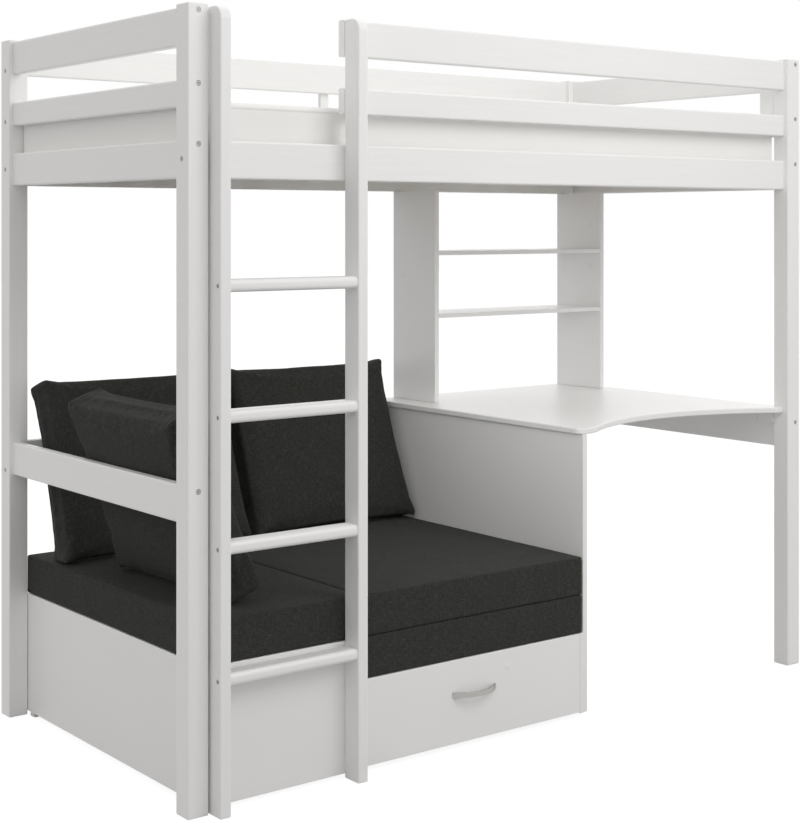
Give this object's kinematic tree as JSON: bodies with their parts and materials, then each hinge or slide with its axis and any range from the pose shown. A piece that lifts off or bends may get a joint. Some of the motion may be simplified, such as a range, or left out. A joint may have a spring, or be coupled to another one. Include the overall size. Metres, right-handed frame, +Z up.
{
  "type": "loft bed",
  "caption": "White loft bed with a front ladder and guard rails, a scooped desk with shelves at one end and a sofa with loose cushions that pulls out into a guest bed.",
  "frame": {"origin": "middle of the footprint, on the floor", "axes": "+X along the bed from the ladder end to the desk end, +Y from the ladder side to the wall side, +Z up"},
  "size_m": [2.093, 1.0288, 1.8],
  "materials": {
    "painted_wood": "white semi-gloss paint on planed pine",
    "white_panel": "white melamine faced board",
    "pine": "planed, unpainted",
    "mattress_cover": "white knitted mattress cover",
    "anthracite_fabric": "dark woven upholstery",
    "satin_nickel": "satin nickel plated",
    "zinc": "zinc plated, satin",
    "castor_plastic": "hard grey plastic"
  },
  "bodies": {
    "bed": {"post_front_left": "painted_wood", "post_back_left": "painted_wood", "post_front_right": "painted_wood", "post_back_right": "painted_wood", "left_top_guard": "painted_wood", "left_low_guard": "painted_wood", "left_bed_rail": "painted_wood", "left_mid_rail": "painted_wood", "right_top_guard": "painted_wood", "right_low_guard": "painted_wood", "right_bed_rail": "painted_wood", "right_mid_rail": "painted_wood", "back_top_guard": "painted_wood", "back_low_guard": "painted_wood", "back_bed_rail": "painted_wood", "back_mid_rail": "painted_wood", "front_top_guard": "painted_wood", "front_low_guard": "painted_wood", "front_bed_rail": "painted_wood", "back_guard_batten": "painted_wood", "right_guard_batten": "painted_wood", "slatted_bed_base": "pine", "bed_mattress": "mattress_cover", "ladder_stringer_left": "painted_wood", "ladder_stringer_right": "painted_wood", "ladder_rung_1": "painted_wood", "ladder_rung_2": "painted_wood", "ladder_rung_3": "painted_wood", "ladder_rung_4": "painted_wood", "desktop": "white_panel", "desk_side_panel": "white_panel", "desk_cleat": "pine", "shelf_left_panel": "white_panel", "shelf_right_panel": "white_panel", "shelf_1": "white_panel", "shelf_2": "white_panel", "base_end_panel": "white_panel", "base_divider": "white_panel", "base_right_panel": "white_panel", "base_front_panel": "white_panel", "base_back_panel": "white_panel", "base_platform": "white_panel", "base_slat_frame": "pine", "seat_cushion": "anthracite_fabric", "lower_mattress": "anthracite_fabric", "upper_mattress": "anthracite_fabric", "back_cushion_left": "anthracite_fabric", "back_cushion_right": "anthracite_fabric", "side_cushion": "anthracite_fabric"},
    "pullout": {"pullout_front": "white_panel", "pullout_slat_frame": "pine", "pullout_handle": "satin_nickel", "castor_fork_left": "zinc", "castor_fork_right": "zinc"},
    "wheel_left": {"castor_wheel_left": "castor_plastic"},
    "wheel_right": {"castor_wheel_right": "castor_plastic"}
  },
  "joints": [
    {"name": "pullout_slide", "type": "slide", "parent": "bed", "child": "pullout", "axis": [0, -1, 0], "range_m": [0, 0.838]},
    {"name": "castor_left_axle", "type": "hinge", "parent": "pullout", "child": "wheel_left", "pos_m": [-0.4905, -0.4128, 0.025], "axis": [1, 0, 0], "continuous": true},
    {"name": "castor_right_axle", "type": "hinge", "parent": "pullout", "child": "wheel_right", "pos_m": [0.0884, -0.4128, 0.025], "axis": [1, 0, 0], "continuous": true}
  ]
}
